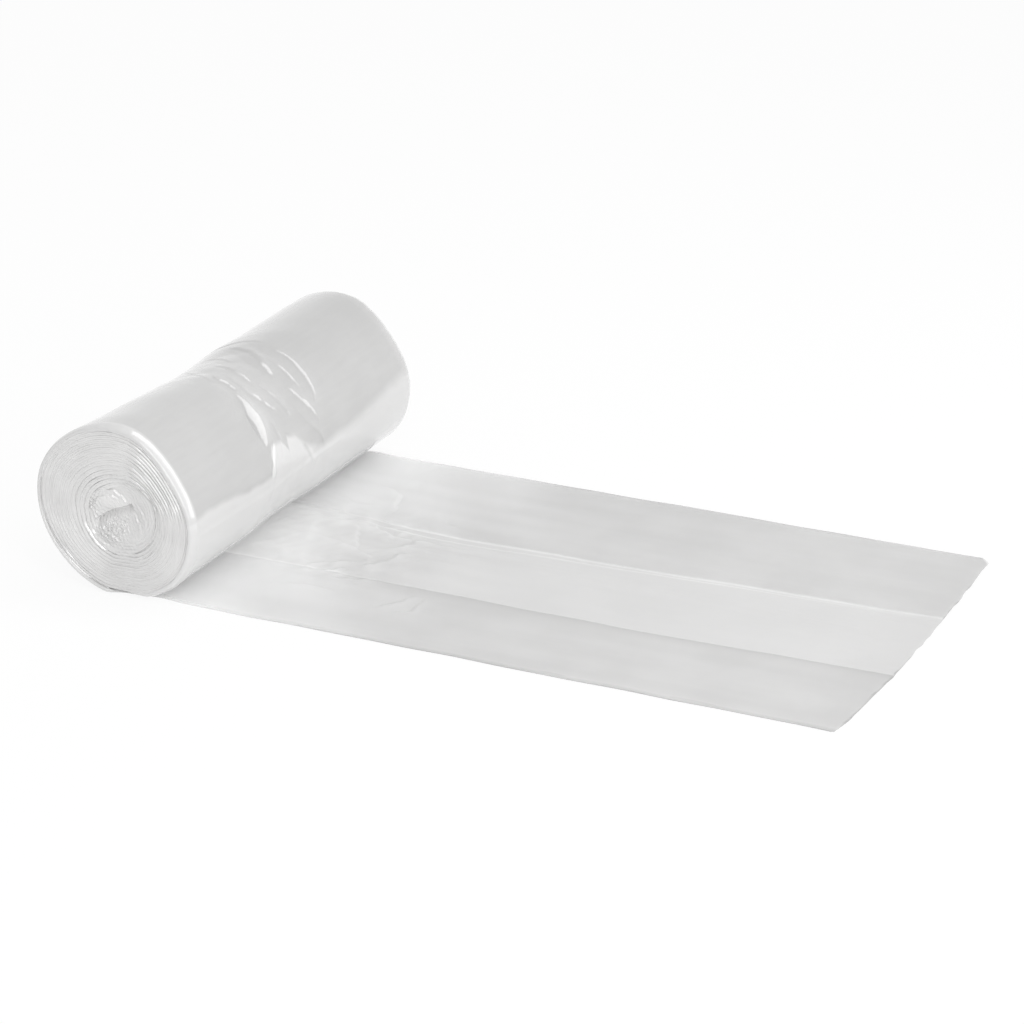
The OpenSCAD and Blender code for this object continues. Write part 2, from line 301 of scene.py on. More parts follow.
def roll_relief(u, y, folds):
    """How far the outer turn dips from its oval, with its waist, folds and long soft swells."""
    a = from_angle(turn_angle(u), 0)
    across = a * DEG_ON_ROLL
    centre = 1 - np.abs(y - WAIST_Y + 2 * waves(np.radians(a) * 2, 3)) / (WAIST_HALF + 2)
    dip = WAIST * smooth(centre * 1.25)
    crushed = smooth((a - CRUSHED_FROM) / 30) * smooth((CRUSHED_TO - a) / 40) * smooth(centre * 2.2)
    crushed = crushed * (0.35 + 0.65 * np.exp(-((a - CRUSHED_MOST) / CRUSHED_REACH) ** 2))
    crumple = creased(across, y, seed=11, count=4, low=0.08, high=0.17, lean=66, spread=26)
    dip = dip + crushed * 1.3 * (crumple - 0.4) - folds
    swell = 0.3 * waves(y / 30 + np.radians(a) * 1.2, 21)
    dip = dip + swell * smooth((HALF_W - np.abs(y)) / 20) * smooth((a + 60) / 40)
    pull = line_distance(across, y, [(angle * DEG_ON_ROLL, place) for angle, place in PULL_LINE])[0]
    dip = dip + PULL_DIP * smooth(0.5 + pull / 4) * np.exp(-np.maximum(pull, 0) / PULL_REACH)
    under_roll = 1 - 0.75 * smooth((u - 0.9) / 0.08)
    return settled(u) * np.clip(dip, -0.5, WAIST + CRUMPLE - 0.1) * under_roll


# Painted light low on the roll, where the film is made paler: places along the roll, each with the angle
# below which it is paler
PAINTED_LIGHT_BELOW = [(-152, 3), (-131, 5), (-111, 4), (-93, 2.5), (-75, -0.5), (-50, -2), (-43, -2), (-39.5, 10),
              (-36, 17), (-23, 17), (-18, 7), (-15, 17), (-6, 14.5), (2, 4), (12, -1), (24, -4), (48, -3),
              (66, -3), (86, 0), (106, 3), (136, 7), (152, 9)]
# How soft the edge of the painted light is, in degrees, at places along the roll
PAINTED_LIGHT_SOFT = [(-150, 6), (-50, 5), (0, 6), (60, 11), (150, 13)]


def roll_paleness(u, y, folds):
    """How pale the film is, from -1 to 1: paler round the rims, with painted light low on the roll and on the
    folds' raised faces, and painted shade in the folds' hollows and on the top towards the far end.
    """
    a = from_angle(turn_angle(u), 0)
    y = y + 0 * u
    # Painted light low on the roll: the film is made paler below the listed line
    below = along_line(y + 1.2 * waves(np.radians(a) * 9, 141), PAINTED_LIGHT_BELOW) + 0.4 * waves(y / 9, 142)
    soft = along_line(y, PAINTED_LIGHT_SOFT)
    pale = smooth(0.5 + (below - a) / soft) * (1 - 0.25 * smooth((y - 30) / 60))
    rim = smooth((np.abs(y) - HALF_W + 1.5) / 2.5) * np.where(y < 0, 0.75, 0.3)
    # Painted light where the folds stand up and painted shade in their hollows
    tone = np.clip(folds, -1.0, 1.2)
    # Painted shade on the top of the roll towards the far end
    painted_shade_far_top = 0.3 * smooth((y + 20) / 60) * smooth((a - 25) / 50)
    return np.maximum(pale, rim) - painted_shade_far_top + np.where(tone < 0, 0.55, 0.3) * tone * (1 - 0.6 * pale)


# The rim at each end, where the outer turn curls over the turns below it: steps of length and slope
RIM_STEPS = [(0.5, 8), (0.5, 17), (1.3, 19), (1.3, 21), (1.3, 24), (0.7, 38), (0.7, 56), (0.7, 76), (0.7, 96),
             (0.7, 112)]
RIM_END, RIM_LENGTH, FLAT_START = HALF_W + 6.45, 5.85, 0.9
# The rim is fullest where it faces this angle. The turn's underside has two rows, this far from the middle
RIM_FACING, UNDERSIDE_Y = 25, 20.0


def rim_share(u):
    """How much of the curled rim there is: none at the perforation and none past the turn's own end."""
    return smooth((u + 0.01) / 0.05) * (1 - smooth((u - 0.96) / 0.06))


def outer_turn():
    """The outer turn: a folded web with its outside in detail and its edges curled over the ends."""
    us = spaced([(0, 0.008), (0.42, 0.0021), (0.82, 0.007), (SKIN_TURNS, 0.007)])[:, None]
    flat_ys = spaced([(-HALF_W + 1.5, 2.4), (-66, 0.8), (60, 2.4), (HALF_W - 1.5, 2.4)])
    share = rim_share(us)
    facing = smooth((np.cos(np.radians(turn_angle(us) - RIM_FACING)) + 0.55) / 1.2)
    swell = (0.5 + 0.5 * facing) * (1 + 0.06 * waves(us * 30, 31) + 0.04 * waves(us * 80, 32))

    def rim(side):
        """Places along the axis and depths of the rim's rows, from the turn's outside to its inside."""
        full = RIM_END - RIM_LENGTH * swell + (FAR_DRIFT if side > 0 else 0)
        start = (HALF_W - FLAT_START) + (full - HALF_W + FLAT_START) * share
        out, drop = 0.0, 0.0
        rows = [(side * start, 0 * us)]
        for step, slope in RIM_STEPS:
            out = out + step * math.cos(math.radians(slope))
            drop = drop + step * math.sin(math.radians(slope))
            size = 0.16 * (1 - share) + share * swell
            rows.append((side * (start + out * size), drop * size))
        rows.append((side * (start + 0.3 + 3.0 * share * swell), WEB_T + 3.4 * share * swell))
        rows.append((side * (start - 1), WEB_T + 0.3 * share))
        return rows

    near, far = rim(-1), rim(1)
    curled = len(RIM_STEPS) + 1
    skin_y = flat_ys[None, :] + 0 * us
    folds = roll_folds(us, skin_y)
    underside = (WEB_T / 2 + WAIST + CRUMPLE) * settled(us)
    # Once round the turn's section: over the outside from the near rim to the far one, and back underneath
    ring = near[curled - 1::-1] + [(skin_y, roll_relief(us, skin_y, folds))] + far
    ring += [(side * UNDERSIDE_Y + 0 * us, underside) for side in (1, -1)] + near[:curled - 1:-1]
    rows = np.concatenate([web_points(us, y, d).reshape(len(us), -1, 3) for y, d in ring], axis=1)
    pale = np.concatenate([roll_paleness(us, y, folds if y is skin_y else 0) for y, _ in ring], axis=1)
    rows[:, :, 2] = np.maximum(rows[:, :, 2], FLOOR_GAP)
    piece = film_mesh("outer_turn", rows[:, ::-1], closed=True, capped=True)
    point_values(piece, "pale", pale[:, ::-1])
    return piece


def edge_out(u, side):
    """How far a turn's edges stand out past the first bag's. Side is -1 at the near end, 1 at the far."""
    return END_SWELL - RIM_STEP * np.exp(1 - u) - END_DISH * inward(u) ** 4 + (FAR_DRIFT if side > 0 else 0)


# The lips at the turns' edges slant the most where they face this angle, and catch the softboxes' light
LIT_ANGLE = 44
STEPS_A_TURN, OVERLAP, THICKEST = 112, 0.02, 3.0
# How far the inner turns' beginning, under the roll, is drawn back behind the rim, and over how many turns
DRAWN_BACK, DRAWN_TURNS = 0.9, 0.04
LIP_DEEP, LIP_ROUND = 6, 0.05


def inner_turns():
    """All turns inside the outer one, down to the web's inner end folded up in the hollow, as one solid."""
    us = np.linspace(SKIN_TURNS - OVERLAP, TURNS, int((TURNS - SKIN_TURNS) * STEPS_A_TURN))[:, None]
    # Near the hollow the edges are more uneven, and behind the crushed film they are drawn in
    core = smooth((us - COIL_TURNS * 0.5) / (COIL_TURNS * 0.4))
    hidden = smooth((us - COIL_TURNS + 1.1) / 0.5)
    dip = (WAIST + CRUMPLE + TURN_GAP - WEB_T / 2) * (1 - inward(us))
    room = turn_r(us, -HALF_W) - turn_r(us + 1, -HALF_W)
    # Each turn fills the room up to the next one, and stops just short of its face
    thick = np.where(us < COIL_TURNS - 1.5, np.clip(room, WEB_T, THICKEST) * 0.998, WEB_T)
    # Opposite that angle only the outermost turns and those at the hollow slant in full
    facing = np.radians(turn_angle(us) - LIT_ANGLE)
    opposite = np.minimum(1, 0.3 + 0.8 * core + 0.8 * np.exp(-((us - SKIN_TURNS) / 2.5) ** 2))
    lit = np.clip(1.4 * np.cos(2 * facing), 0, 1)
    lit = np.where(np.cos(facing) > 0, lit, lit * opposite)

    def lips(side, seed):
        """Places along the axis and depths of the rows of each turn's two lips, with a notch between them."""
        out = edge_out(us, side) + 1.4 * np.exp(SKIN_TURNS - us)
        out = out + (0.25 + 0.35 * core) * waves(us * 9.3, seed, 6)
        out = out + 0.14 * waves(us * 37, seed + 1, 6) + core * 0.4 * waves(us * 60, seed + 2, 6) - 6 * hidden
        out = out - DRAWN_BACK * (1 - smooth((us - SKIN_TURNS) / DRAWN_TURNS))
        lower = 0.05 + 0.3 * (1 - 0.8 * lit) * (0.5 + 0.5 * waves(us * 2.9, seed + 3, 5))
        y, w = HALF_W + out, HALF_W + out - lower
        slant = (0.07 + 0.73 * lit) * (1 + 0.25 * waves(us * 6.1, seed + 5, 6))
        notch = np.minimum(y, w) - 0.1 - 0.1 * lit - 0.04 * waves(us * 5.3, seed + 4, 5)
        rows = [(y - LIP_DEEP, 0.0), (y - LIP_ROUND - slant, 0.0), (y - LIP_ROUND - 0.9 * slant, 0.03),
                (y - LIP_ROUND, 0.24), (y, 0.28), (y - 0.04, 0.33), (y - 0.14, 0.38), (notch, 0.42),
                (w - 0.16, 0.46), (w - 0.04, 0.51), (w, 0.56), (w - LIP_ROUND, 0.61),
                (w - LIP_ROUND - 0.1 * slant, 0.64), (w - LIP_ROUND - 0.9 * slant, 0.97),
                (w - LIP_ROUND - slant, 1.0), (w - LIP_DEEP, 1.0)]
        return [(side * place, depth * thick) for place, depth in rows]

    near, far = lips(-1, 50), lips(1, 70)
    ring = near + [(y + 0 * us, dip + WEB_T / 2) for y in (NEAR_CREASE, FAR_CREASE)]
    ring += far[::-1] + [(y + 0 * us, dip) for y in (FAR_CREASE, NEAR_CREASE)]
    rows = np.concatenate([web_points(us, y, d).reshape(len(us), -1, 3) for y, d in ring], axis=1)
    return film_mesh("inner_turns", rows, closed=True, capped=True)


# Folds of the crushed inner end, seen from outside: slope, reach, and a line of (right, up, width), with
# right and up measured from the axis
END_FOLDS = [
    (1.1, 1.6, [(-25, 5, 0.3), (-20, 11, 1.0), (-12, 14.4, 1.1), (-6, 14, 1.3), (-1, 10.5, 1.2),
                (3.4, 4.5, 0.3)]),
    (1.1, 1.6, [(-26.5, -15, 0.3), (-21, -20.5, 1.2), (-14.5, -25, 1.2), (-8, -28.5, 0.3)]),
    (1.0, 1.2, [(-20, -9, 0.3), (-14, -14.5, 1.0), (-8, -19.5, 1.1), (-4, -24, 0.3)]),
    (1.0, 1.1, [(-17, -7.5, 0.3), (-12, -11.5, 1.1), (-6, -15, 1.1), (-1, -20, 0.3)]),
    (1.0, 1.1, [(-13, -5.5, 0.3), (-8, -9, 1.0), (-3, -11.5, 1.1), (2, -16, 0.3)]),
    (1.0, 1.0, [(-10, -3, 0.3), (-5, -5, 0.9), (0, -7.5, 1.0), (4, -12, 0.3)]),
    (0.95, 0.9, [(-17, -14, 0.3), (-14, -18.5, 0.8), (-10, -22, 0.3)]),
    (0.95, 0.9, [(-10, -12.5, 0.3), (-7, -16, 0.8), (-5.5, -19, 0.3)]),
    (1.0, 1.6, [(3, 3, 0.3), (8, -1, 1.2), (12, -7, 1.2), (14, -14, 0.3)]),
    (1.0, 1.8, [(-22, 1, 0.3), (-19, 5.5, 1.2), (-14, 9.5, 1.2), (-7, 10.5, 1.0), (-2, 7, 0.3)]),
    (0.95, 1.5, [(8, 8, 0.3), (13, 3, 1.2), (17, -4, 1.2), (18, -12, 0.3)]),
    (0.95, 1.4, [(0, -17, 0.3), (5, -20, 1.0), (11, -20.5, 0.8), (16, -16, 0.3)]),
]
# The crushed film covers the hollow and spills over the lowest turns
HOLLOW_WALL, SPILL, SPILL_ANGLE = 23.2, 5.6, 247
END_AROUND, END_OUT, END_WANDER = 320, 92, 0.4
# The crease between the upper flap and the lobe under it, and how deep it is
END_CREASE, END_CREASE_DEEP = [(-21, -9.5), (-15, -4.5), (-6, 0.5), (2, 3.2), (6, 6)], 3.4
# Points nearer to each other than this, in metres, are merged
MERGE_UNDER = 0.000005


def crushed_end(name, side, seed):
    """The inner end at one end of the roll, crushed into the hollow: an upper flap over a crinkled lobe."""
    around = np.linspace(0, 2 * math.pi, END_AROUND + 1)[:-1][:, None]
    out = np.linspace(0.01, 1, END_OUT)[None, :]
    spill = (0.5 + 0.5 * np.cos(around - math.radians(SPILL_ANGLE))) ** 1.5
    uneven = 1 + 0.02 * waves(np.cos(around) * 1.7 + np.sin(around) * 1.1, seed)
    radius = (HOLLOW_WALL + SPILL * spill) * uneven
    right, up = out * radius * np.cos(around), out * radius * np.sin(around)
    from_axis = np.hypot(right, up)
    turn = np.clip((ROLL_R - from_axis) / PITCH, 1, COIL_TURNS - 1)
    height = edge_out(turn, side) + 0.5 - 3.2 * smooth((21 - from_axis) / 15)
    height = height + 3.0 * hump(right, up, (-10, 4.5), (9, 6)) + 2.6 * hump(right, up, (-8, -13), (9, 8))
    below, s, _ = line_distance(right, up, END_CREASE)
    drop = np.exp(-(np.maximum(below, 0) / 3.4) ** 2 - (np.minimum(below, 0) / 0.5) ** 2)
    height = height - END_CREASE_DEEP * drop * tapered(s)
    for fold in END_FOLDS:
        height = height + fold_height(right, up, fold, END_WANDER)
    # Crinkles, coarse and fine, mostly on the lobe, and the marks of the turns towards the outside
    lobe, spots = hump(right, up, (-8, -12), (10, 9)), hump(right, up, (-21, 2), (5, 7))
    coarse = creased(right, up, seed + 2, count=3, low=0.9, high=1.7, lean=50, spread=45)
    fine = creased(right, up, seed + 3, count=3, low=2.0, high=3.2, lean=50, spread=60)
    height = height + (0.15 + lobe + spots) * 1.8 * (coarse - 0.4) + (0.2 + lobe) * 1.5 * (fine - 0.4)
    turns = 1 - np.abs(np.sin(from_axis * math.pi / PITCH + waves(around, seed + 4, 4, 0.9, 3.1)))
    height = height - 0.5 * turns ** 3 * smooth((out - 0.62) / 0.2) - 1.8 * smooth((out - 0.93) / 0.07) ** 2
    y = side * (HALF_W + height)
    rows = np.stack(np.broadcast_arrays(right, y, AXIS_Z + up), axis=-1)
    middle = rows[:, :1].mean(axis=0, keepdims=True) + 0 * rows[:, :1]
    rows = np.concatenate([middle, rows], axis=1)
    rows = np.concatenate([rows, rows[:1]], axis=0)
    piece = film_mesh(name, rows if side < 0 else rows[::-1], closed=False)
    # The points at the middle become one, and the first and last rows are joined
    bpy.ops.object.select_all(action="DESELECT")
    piece.select_set(True)
    bpy.context.view_layer.objects.active = piece
    bpy.ops.object.mode_set(mode="EDIT")
    bpy.ops.mesh.select_all(action="SELECT")
    bpy.ops.mesh.remove_doubles(threshold=MERGE_UNDER)
    bpy.ops.object.mode_set(mode="OBJECT")
    return piece


# Folds of the first bag, most of them near the roll: slope, reach, and a line of (out from the roll, along
# it, width)
BAG_FOLDS = [
    (0.28, 3.5, [(60, 86, 0.6), (73, 83, 2.2), (84, 73, 2.6), (90, 54, 2.2), (86, 44, 0.6)]),
    (0.5, 4.0, [(50, 20, 0.5), (68, 22, 1.8), (76, 29, 2.0), (90, 31, 0.8)]),
    (0.6, 4.0, [(86, 33, 0.6), (96, 23, 2.2), (110, 17, 2.4), (131, 18, 2.2), (170, 17, 0.8)]),
    (0.7, 2.6, [(78, -60, 0.5), (86, -48, 1.6), (101, -38, 1.6), (112, -34, 0.5)]),
    (0.7, 2.4, [(79, -63, 0.5), (92, -58, 1.8), (101, -54, 1.8), (106, -44, 0.5)]),
    (0.5, 4.0, [(110, -46, 0.6), (121, -32, 2.2), (126, -15, 2.2), (132, -5, 0.6)]),
    (0.4, 5.0, [(78, 26, 0.6), (86, 10, 2.6), (92, -4, 2.6), (99, -20, 0.6)]),
    (0.4, 4.0, [(102, -66, 0.6), (122, -61, 2.0), (142, -55, 0.6)]),
    (0.4, 4.0, [(150, -98, 0.6), (161, -84, 2.0), (167, -67, 0.6)]),
    (0.4, 3.0, [(164, -102, 0.6), (175, -92, 1.8), (174, -70, 0.6)]),
    (0.35, 4.0, [(24, -44, 0.6), (35, -34, 2.2), (46, -24, 0.6)]),
    (0.35, 4.0, [(26, -10, 0.6), (33, 14, 2.2), (60, 26, 0.6)]),
    (0.45, 4.0, [(108, -14, 0.6), (122, 1, 2.2), (126, 14, 2.0), (142, 24, 0.6)]),
    (0.35, 4.0, [(60, -4, 0.6), (84, -12, 2.2), (108, -22, 2.0), (128, -36, 0.6)]),
    (0.35, 4.0, [(40, 60, 0.6), (62, 52, 2.4), (82, 56, 0.6)]),
    (0.3, 5.0, [(70, -92, 0.6), (96, -84, 2.2), (120, -84, 0.6)]),
    (0.3, 5.0, [(120, 60, 0.6), (136, 50, 2.2), (150, 48, 0.6)]),
]

# How the two creases wander: places out from the roll and where each crease lies there. The second line is
# the far crease's other light line, given by its distance from the first
FAR_CREASE_LINE = [(0, 36), (60, 34), (86, 31.7), (116, 27.5), (146, 25.6), (207, 26.6), (248, 28), (302, 30),
                   (361, 32.7), (414, 34.6), (471, 37)]
NEAR_CREASE_LINE = [(0, -58), (140, -58.5), (240, -60), (300, -60.5), (390, -57.8), (471, -55)]
SECOND_LINE = [(0, 8), (90, 8), (130, 8.5), (207, 6.5), (302, 4.5), (414, 3.2), (471, 2.5)]
BAG_WANDER, FOLD_ROUND, NEAR_FADE, FAR_FADE = 0.8, 1.0, 2.6, 2.0


def between_creases(y, spare=0.0):
    """1 between the bag's two creases and 0 beyond them, widened by spare on both sides."""
    return smooth((y - NEAR_CREASE + spare) / NEAR_FADE) * smooth((FAR_CREASE + spare - y) / FAR_FADE)


def crease_shift(x, y):
    """How far the film at (x, y) is moved along the roll so that the creases wander as they lie."""
    far = (along_line(x, FAR_CREASE_LINE) - FAR_CREASE) * smooth(1 - np.abs(y - FAR_CREASE) / 55)
    near = (along_line(x, NEAR_CREASE_LINE) - NEAR_CREASE) * smooth(1 - np.abs(y - NEAR_CREASE) / 50)
    return far + near


def bag_lift(x, y):
    """How far the bag stands off the floor: a low hump at its edges where it comes out from the roll."""
    return 1.3 * hump(x, y, (22, -HALF_W), (13, 26)) + 1.0 * hump(x, y, (30, HALF_W), (16, 26))


def bag_relief(x, y):
    """Height of the upper film's wrinkles over the flat bag."""
    near_roll = np.exp(-(np.maximum(x - 90, 0) / 60) ** 2) * smooth((x - 14) / 30)
    middle = smooth(1.4 - np.abs(y + 6) / 66)
    coarse = creased(x, y, seed=83, count=5, low=0.06, high=0.16, lean=65, spread=45)
    fine = creased(x, y, seed=84, count=5, low=0.2, high=0.4, lean=60, spread=60)
    total = 0.25 * (waves(y / 11 + x / 300, 81) + waves(x / 43 + y / 60, 82)) * smooth(x / 40)
    total = total + near_roll * (0.06 + 0.94 * middle) * 1.3 * (coarse - 0.45)
    total = total + near_roll * middle * 0.8 * (fine - 0.45)
    for fold in BAG_FOLDS:
        total = total + fold_height(x, y, fold, BAG_WANDER)
    free = smooth((x - BAG_L + 110) / 110)
    return total + 0.35 * free * waves(y / 18, 85) * smooth((HALF_W - np.abs(y)) / 12)


def bag_paleness(x, y, relief):
    """How pale the film is, from about -1 to 1.

    It is paler near the roll and darker between the creases. Its wrinkles have painted light on their crests
    and painted shade in their hollows, the far crease's two lines painted highlights, and the near crease a
    painted shadow.
    """
    pale = 0.9 * smooth((215 - x) / 170)
    # Painted light on the wrinkles' crests and painted shade in their hollows
    pale = pale + 0.35 * np.clip(relief, -1, 1.4) * smooth((230 - x) / 60)
    # Painted highlights along the far crease's two light lines
    second = FAR_CREASE - along_line(x, SECOND_LINE)
    pale = pale + 0.4 * np.exp(-((y - FAR_CREASE) / 0.9) ** 2) * smooth((x - 50) / 60)
    pale = pale + 0.65 * np.exp(-((y - second) / 0.9) ** 2) * smooth((x - 70) / 40) * smooth((500 - x) / 160)
    shadow = smooth((NEAR_CREASE + 2 - y) / 1.5) * np.exp(-np.maximum(NEAR_CREASE - y, 0) / 7)
    pale = pale - 0.6 * shadow * smooth((x - 90) / 80)
    return pale - 0.25 * smooth((x - 420) / 60) - 0.55 * between_creases(y)


def bag_cover(x, y):
    """How much one layer of the film hides: less near the roll and at the edges, more between the creases."""
    middle = between_creases(y, FOLD_ROUND)
    near_roll = smooth((200 - x) / 150)
    close = smooth((110 - x) / 60)
    edges = smooth((np.abs(y) - HALF_W + 2.0) / 1.6)
    cover = (0.68 + 0.25 * middle) * (1 - near_roll) + (0.45 + 0.23 * middle) * near_roll * (1 - 0.4 * close)
    return cover * (1 - 0.3 * edges)


def first_bag():
    """The first bag: one tube of film with a gusset folded in along each side, lying flat."""
    xs = spaced([(0, 3), (24, 1.4), (200, 3.2), (BAG_L - 8, 1.2), (BAG_L, 1.2)])[:, None]
    top_ys = spaced([(HALF_W - 1, 3), (90, 1.6), (44, 0.8), (20, 1.6), (-50, 0.8), (-70, 1.6), (-100, 3),
                     (-HALF_W + 1, 3)])
    low_ys = spaced([(-HALF_W + 1, 9), (HALF_W - 1, 9)])
    lips_far = spaced([(HALF_W - 1.2, 8), (FAR_CREASE + 2, 8), (FAR_CREASE, 1)])
    lips_near = spaced([(NEAR_CREASE, 1), (NEAR_CREASE - 2, 8), (-HALF_W + 1.2, 8)])
    # The upper film sinks between the creases, and stands up in a low ridge along the near one
    sunk = 0.25 + 0.75 * smooth((xs - 50) / 90)
    ridge = 0.25 * smooth((xs - 70) / 80) * np.exp(-((top_ys - NEAR_CREASE - 2) / 2.5) ** 2)
    level = 1.5 - 0.75 * between_creases(top_ys, FOLD_ROUND) * sunk + ridge
    # The film's stretches round the tube: places across, height, and how far each follows the wrinkles
    films = [
        (low_ys, 0.06, 0.0),
        (np.array([HALF_W - 0.1]), 0.26, 0.05),
        (lips_far, 0.5, 0.12),
        (lips_far[::-1], 1.0, 0.3),
        (np.array([HALF_W - 0.1]), 1.25, 0.5),
        (top_ys, level, 1.0),
        (np.array([-HALF_W + 0.1]), 1.25, 0.5),
        (lips_near[::-1], 1.0, 0.3),
        (lips_near, 0.5, 0.12),
        (np.array([-HALF_W + 0.1]), 0.26, 0.05),
    ]
    ys = np.concatenate([f[0] for f in films])[None, :]
    zs = np.concatenate([f[1] + 0 * (xs + f[0][None, :]) for f in films], axis=1)
    follow = np.concatenate([f[2] + 0 * f[0] for f in films])[None, :]
    # The free end is bowed, its near corner is round and its far one snipped
    end = END_BOW * (1 - (ys / HALF_W) ** 2)
    corner = np.maximum(0, CORNER_R - (ys + HALF_W))
    end = end - (CORNER_R - np.sqrt(np.maximum(CORNER_R ** 2 - corner ** 2, 0)))
    end = end - np.maximum(0, SNIP - (HALF_W - ys)) * 0.9
    end = end + 0.5 * waves(ys / 9, 91) + 1.1 * smooth(1 - np.abs(ys - NEAR_CREASE) / 5)
    end = end - 1.2 * smooth(1 - np.abs(ys - FAR_CREASE) / 6) - 0.8 * (1 - follow) * smooth((ys + 30) / 20)
    x = xs + (xs / BAG_L) ** 12 * end
    relief = bag_relief(x, ys + 0 * x)
    # The second light line of the far crease, and the layers pressed thin along both edges and under the roll
    second = 0.35 * np.exp(-((ys - FAR_CREASE + along_line(x, SECOND_LINE)) / 1.1) ** 2) * follow
    thin = 0.25 + 0.75 * smooth((HALF_W - np.abs(ys)) / 14)
    pressed = 1 - 0.6 * (1 - smooth((x - 8) / 26))
    z = (zs * thin + second + bag_lift(x, ys) + follow * np.maximum(relief, -0.35 * zs)) * pressed
    wobble = 0.5 * waves(xs / 33, 92) * np.sign(ys) * smooth((np.abs(ys) - 120) / 20) * smooth((xs - 30) / 60)
    y = ys + wobble + crease_shift(x, ys)
    rows = np.stack(np.broadcast_arrays(x, y, np.maximum(z, FLOOR_GAP)), axis=-1)
    piece = film_mesh("first_bag_film", rows, closed=True)
    point_values(piece, "pale", bag_paleness(x, ys + 0 * x, relief))
    point_values(piece, "cover", bag_cover(x, ys + 0 * x))
    return piece


# Shader maths on sockets

class Wire:
    """One output socket, with the maths that the materials use."""

    def __init__(self, tree, socket):
        self.tree, self.socket = tree, socket

    def maths(self, operation, other):
        return self.tree.node("ShaderNodeMath", {"operation": operation}, {0: self, 1: other})

    def __add__(self, other):
        return self.maths("ADD", other)

    def __mul__(self, other):
        return self.maths("MULTIPLY", other)

    def larger(self, other):
        return self.maths("MAXIMUM", other)


class Tree:
    """The node tree of a material or world, with one method that adds any node."""

    def __init__(self, owner):
        owner.use_nodes = True
        self.nodes, self.links = owner.node_tree.nodes, owner.node_tree.links

    def fill(self, made, inputs):
        """Gives a node's inputs their values or wires."""
        for name, value in inputs.items():
            if isinstance(value, Wire):
                self.links.new(value.socket, made.inputs[name])
            else:
                made.inputs[name].default_value = value

    def node(self, kind, settings, inputs, output=0):
        made = self.nodes.new(kind)
        for name, value in settings.items():
            setattr(made, name, value)
        self.fill(made, inputs)
        return Wire(self, made.outputs[output])

    def place(self):
        """The place on the piece, in metres."""
        return self.node("ShaderNodeTexCoord", {}, {}, "Object")

    def attribute(self, name):
        """A value that the piece's points carry."""
        return self.node("ShaderNodeAttribute", {"attribute_name": name}, {}, "Fac")

    def between(self, value, low, high):
        """From 0 to 1 as the value goes from low to high, with soft ends."""
        return self.node("ShaderNodeMapRange", {"interpolation_type": "SMOOTHSTEP"},
                         {"Value": value, "From Min": low, "From Max": high})

    def straight(self, value, low, high):
        """From 0 to 1 as the value goes from low to high, along a straight line."""
        return self.node("ShaderNodeMapRange", {"clamp": True},
                         {"Value": value, "From Min": low, "From Max": high})

    def noise(self, place, scale, detail):
        return self.node("ShaderNodeTexNoise", {}, {"Vector": place, "Scale": scale, "Detail": detail})

    def stretched(self, place, scale):
        return self.node("ShaderNodeMapping", {}, {"Vector": place, "Scale": scale})

    def shade(self, factor, dark, light):
        """A colour between dark and light. The mixing node's colour sockets can only be reached by number."""
        return self.node("ShaderNodeMix", {"data_type": "RGBA"}, {0: factor, 6: dark, 7: light}, 2)

    def shade_by_pale(self, colour, dark, light):
        """The colour where the points' pale value is 0, light where it is 1 and dark where it is -1."""
        pale = self.attribute("pale")
        colour = self.shade(self.straight(pale, 0.0, 1.0), colour, light)
        return self.shade(self.straight(pale, 0.0, -1.0), colour, dark)

    def bump(self, strength, distance, height):
        return self.node("ShaderNodeBump", {}, {"Strength": strength, "Distance": distance, "Height": height})

    def rays(self, kind):
        """1 for rays of one kind, such as those of the camera, and 0 for all others."""
        return self.node("ShaderNodeLightPath", {}, {}, "Is %s Ray" % kind)


def grey(value, warmth=0.0):
    """A grey, with more red and less blue by the share warmth."""
    return (value * (1 + warmth), value, value * (1 - warmth), 1.0)


def wound_film():
    """Film wound many layers deep: grey above, and paler below where light is painted in; nearly opaque and
    glossy.
    """
    material = bpy.data.materials.new("wound_film")
    tree = Tree(material)
    place = tree.place()
    cloudy = tree.noise(place, scale=22, detail=3)
    hazy = tree.noise(tree.stretched(place, (40, 5, 40)), scale=6, detail=3)
    tone = tree.between(cloudy * 0.6 + hazy * 0.4, 0.36, 0.64)
    colour = tree.shade(tone, grey(0.452, 0.005), grey(0.474, 0.005))
    # Painted light and shade from the points' pale values: painted light low on the roll and on raised folds,
    # painted shade in the folds' hollows and on the top towards the far end; the rims are paler too
    colour = tree.shade_by_pale(colour, grey(0.33, 0.005), grey(0.66, 0.003))
    grain = tree.noise(tree.stretched(place, (900, 260, 900)), scale=1, detail=2)
    tree.fill(tree.nodes["Principled BSDF"], {
        "Base Color": colour, "Roughness": 0.25, "IOR": 1.8, "Normal": tree.bump(0.05, 0.0006, grain),
        "Coat Weight": 1.0, "Coat Roughness": 0.09})
    return material


def turn_edges():
    """The turns' folded edges at the roll's ends: pale, with glossy folds."""
    material = bpy.data.materials.new("turn_edges")
    tree = Tree(material)
    place = tree.place()
    cloudy = tree.noise(place, scale=60, detail=3)
    colour = tree.shade(tree.between(cloudy, 0.35, 0.65), grey(0.655, 0.005), grey(0.7, 0.005))
    grain = tree.noise(place, scale=1400, detail=2)
    tree.fill(tree.nodes["Principled BSDF"], {
        "Base Color": colour, "Roughness": 0.15, "IOR": 1.75, "Normal": tree.bump(0.06, 0.0004, grain),
        "Coat Weight": 1.0, "Coat Roughness": 0.08})
    return material


